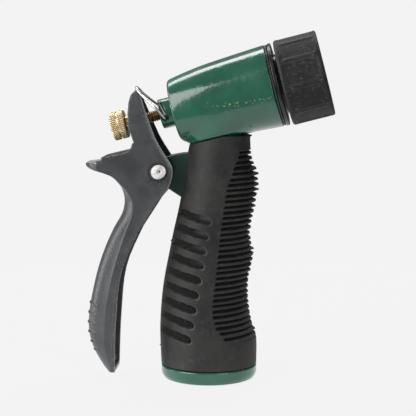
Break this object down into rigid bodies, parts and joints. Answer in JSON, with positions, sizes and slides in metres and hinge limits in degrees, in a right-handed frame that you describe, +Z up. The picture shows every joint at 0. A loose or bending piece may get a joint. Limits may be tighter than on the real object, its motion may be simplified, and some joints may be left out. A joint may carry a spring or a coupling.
{
  "type": "hose spray nozzle",
  "caption": "Rear-trigger pistol spray nozzle with a sleeved grip, knurled adjusting nut, wire hold-open clip and a fluted collar on a threaded front.",
  "frame": {"origin": "centre of the object's outline seen from above, on the plane of the base's underside", "axes": "+Z up the handle, away from the hose inlet; +X the way it sprays; Y along the trigger's rivet"},
  "size_m": [0.1057, 0.0408, 0.1479],
  "materials": {
    "green_enamel": "glossy dark green enamel on die-cast zinc",
    "grip_rubber": "matte moulded black rubber",
    "black_enamel": "satin black paint on die-cast zinc",
    "collar_plastic": "dull black moulded plastic with pale dust",
    "seal_rubber": "smooth black rubber",
    "brass": "turned and knurled brass",
    "bright_steel": "zinc-plated bright steel",
    "trigger_enamel": "satin black paint on die-cast zinc, worn bright along its edges"
  },
  "bodies": {
    "body": {"nozzle_body": "green_enamel", "grip_sleeve": "grip_rubber", "spray_head": "black_enamel", "head_gasket": "seal_rubber", "orifice_seat": "brass", "hose_washer": "seal_rubber", "pivot_rivet": "bright_steel", "stem_bush": "brass", "packing_seal": "seal_rubber", "packing_washer": "bright_steel", "return_spring": "bright_steel"},
    "stem": {"valve_stem": "brass", "spray_pintle": "brass", "valve_washer": "seal_rubber", "washer_retainer": "brass", "thrust_collar": "brass"},
    "nut": {"adjusting_nut": "brass"},
    "lever": {"trigger": "trigger_enamel"},
    "clip": {"hold_open_clip": "bright_steel"},
    "collar": {"front_collar": "collar_plastic"}
  },
  "joints": [
    {"name": "trigger_squeeze", "type": "hinge", "parent": "body", "child": "lever", "pos_m": [-0.02118, 0, 0.0889], "axis": [0, -1, 0], "range_deg": [0, 11.5], "stiffness_Nm_per_rad": 0.38, "springref_deg": -33.52},
    {"name": "stem_pull", "type": "slide", "parent": "body", "child": "stem", "axis": [-0.9681, 0, -0.2504], "range_m": [0, 0.0042], "deforming": ["return_spring"]},
    {"name": "nut_turn", "type": "hinge", "parent": "stem", "child": "nut", "pos_m": [0.02702, 0, 0.125], "axis": [0.9681, 0, 0.2504], "continuous": true},
    {"name": "collar_turn", "type": "hinge", "parent": "body", "child": "collar", "pos_m": [0.02702, 0, 0.125], "axis": [0.9681, 0, 0.2504], "continuous": true},
    {"name": "clip_lift", "type": "hinge", "parent": "body", "child": "clip", "pos_m": [-0.01808, 0, 0.1114], "axis": [0, 1, 0], "range_deg": [0, 25]}
  ],
  "couplings": [
    {"joint": "stem_pull", "follows": "trigger_squeeze", "m_per_rad": 0.0205}
  ]
}
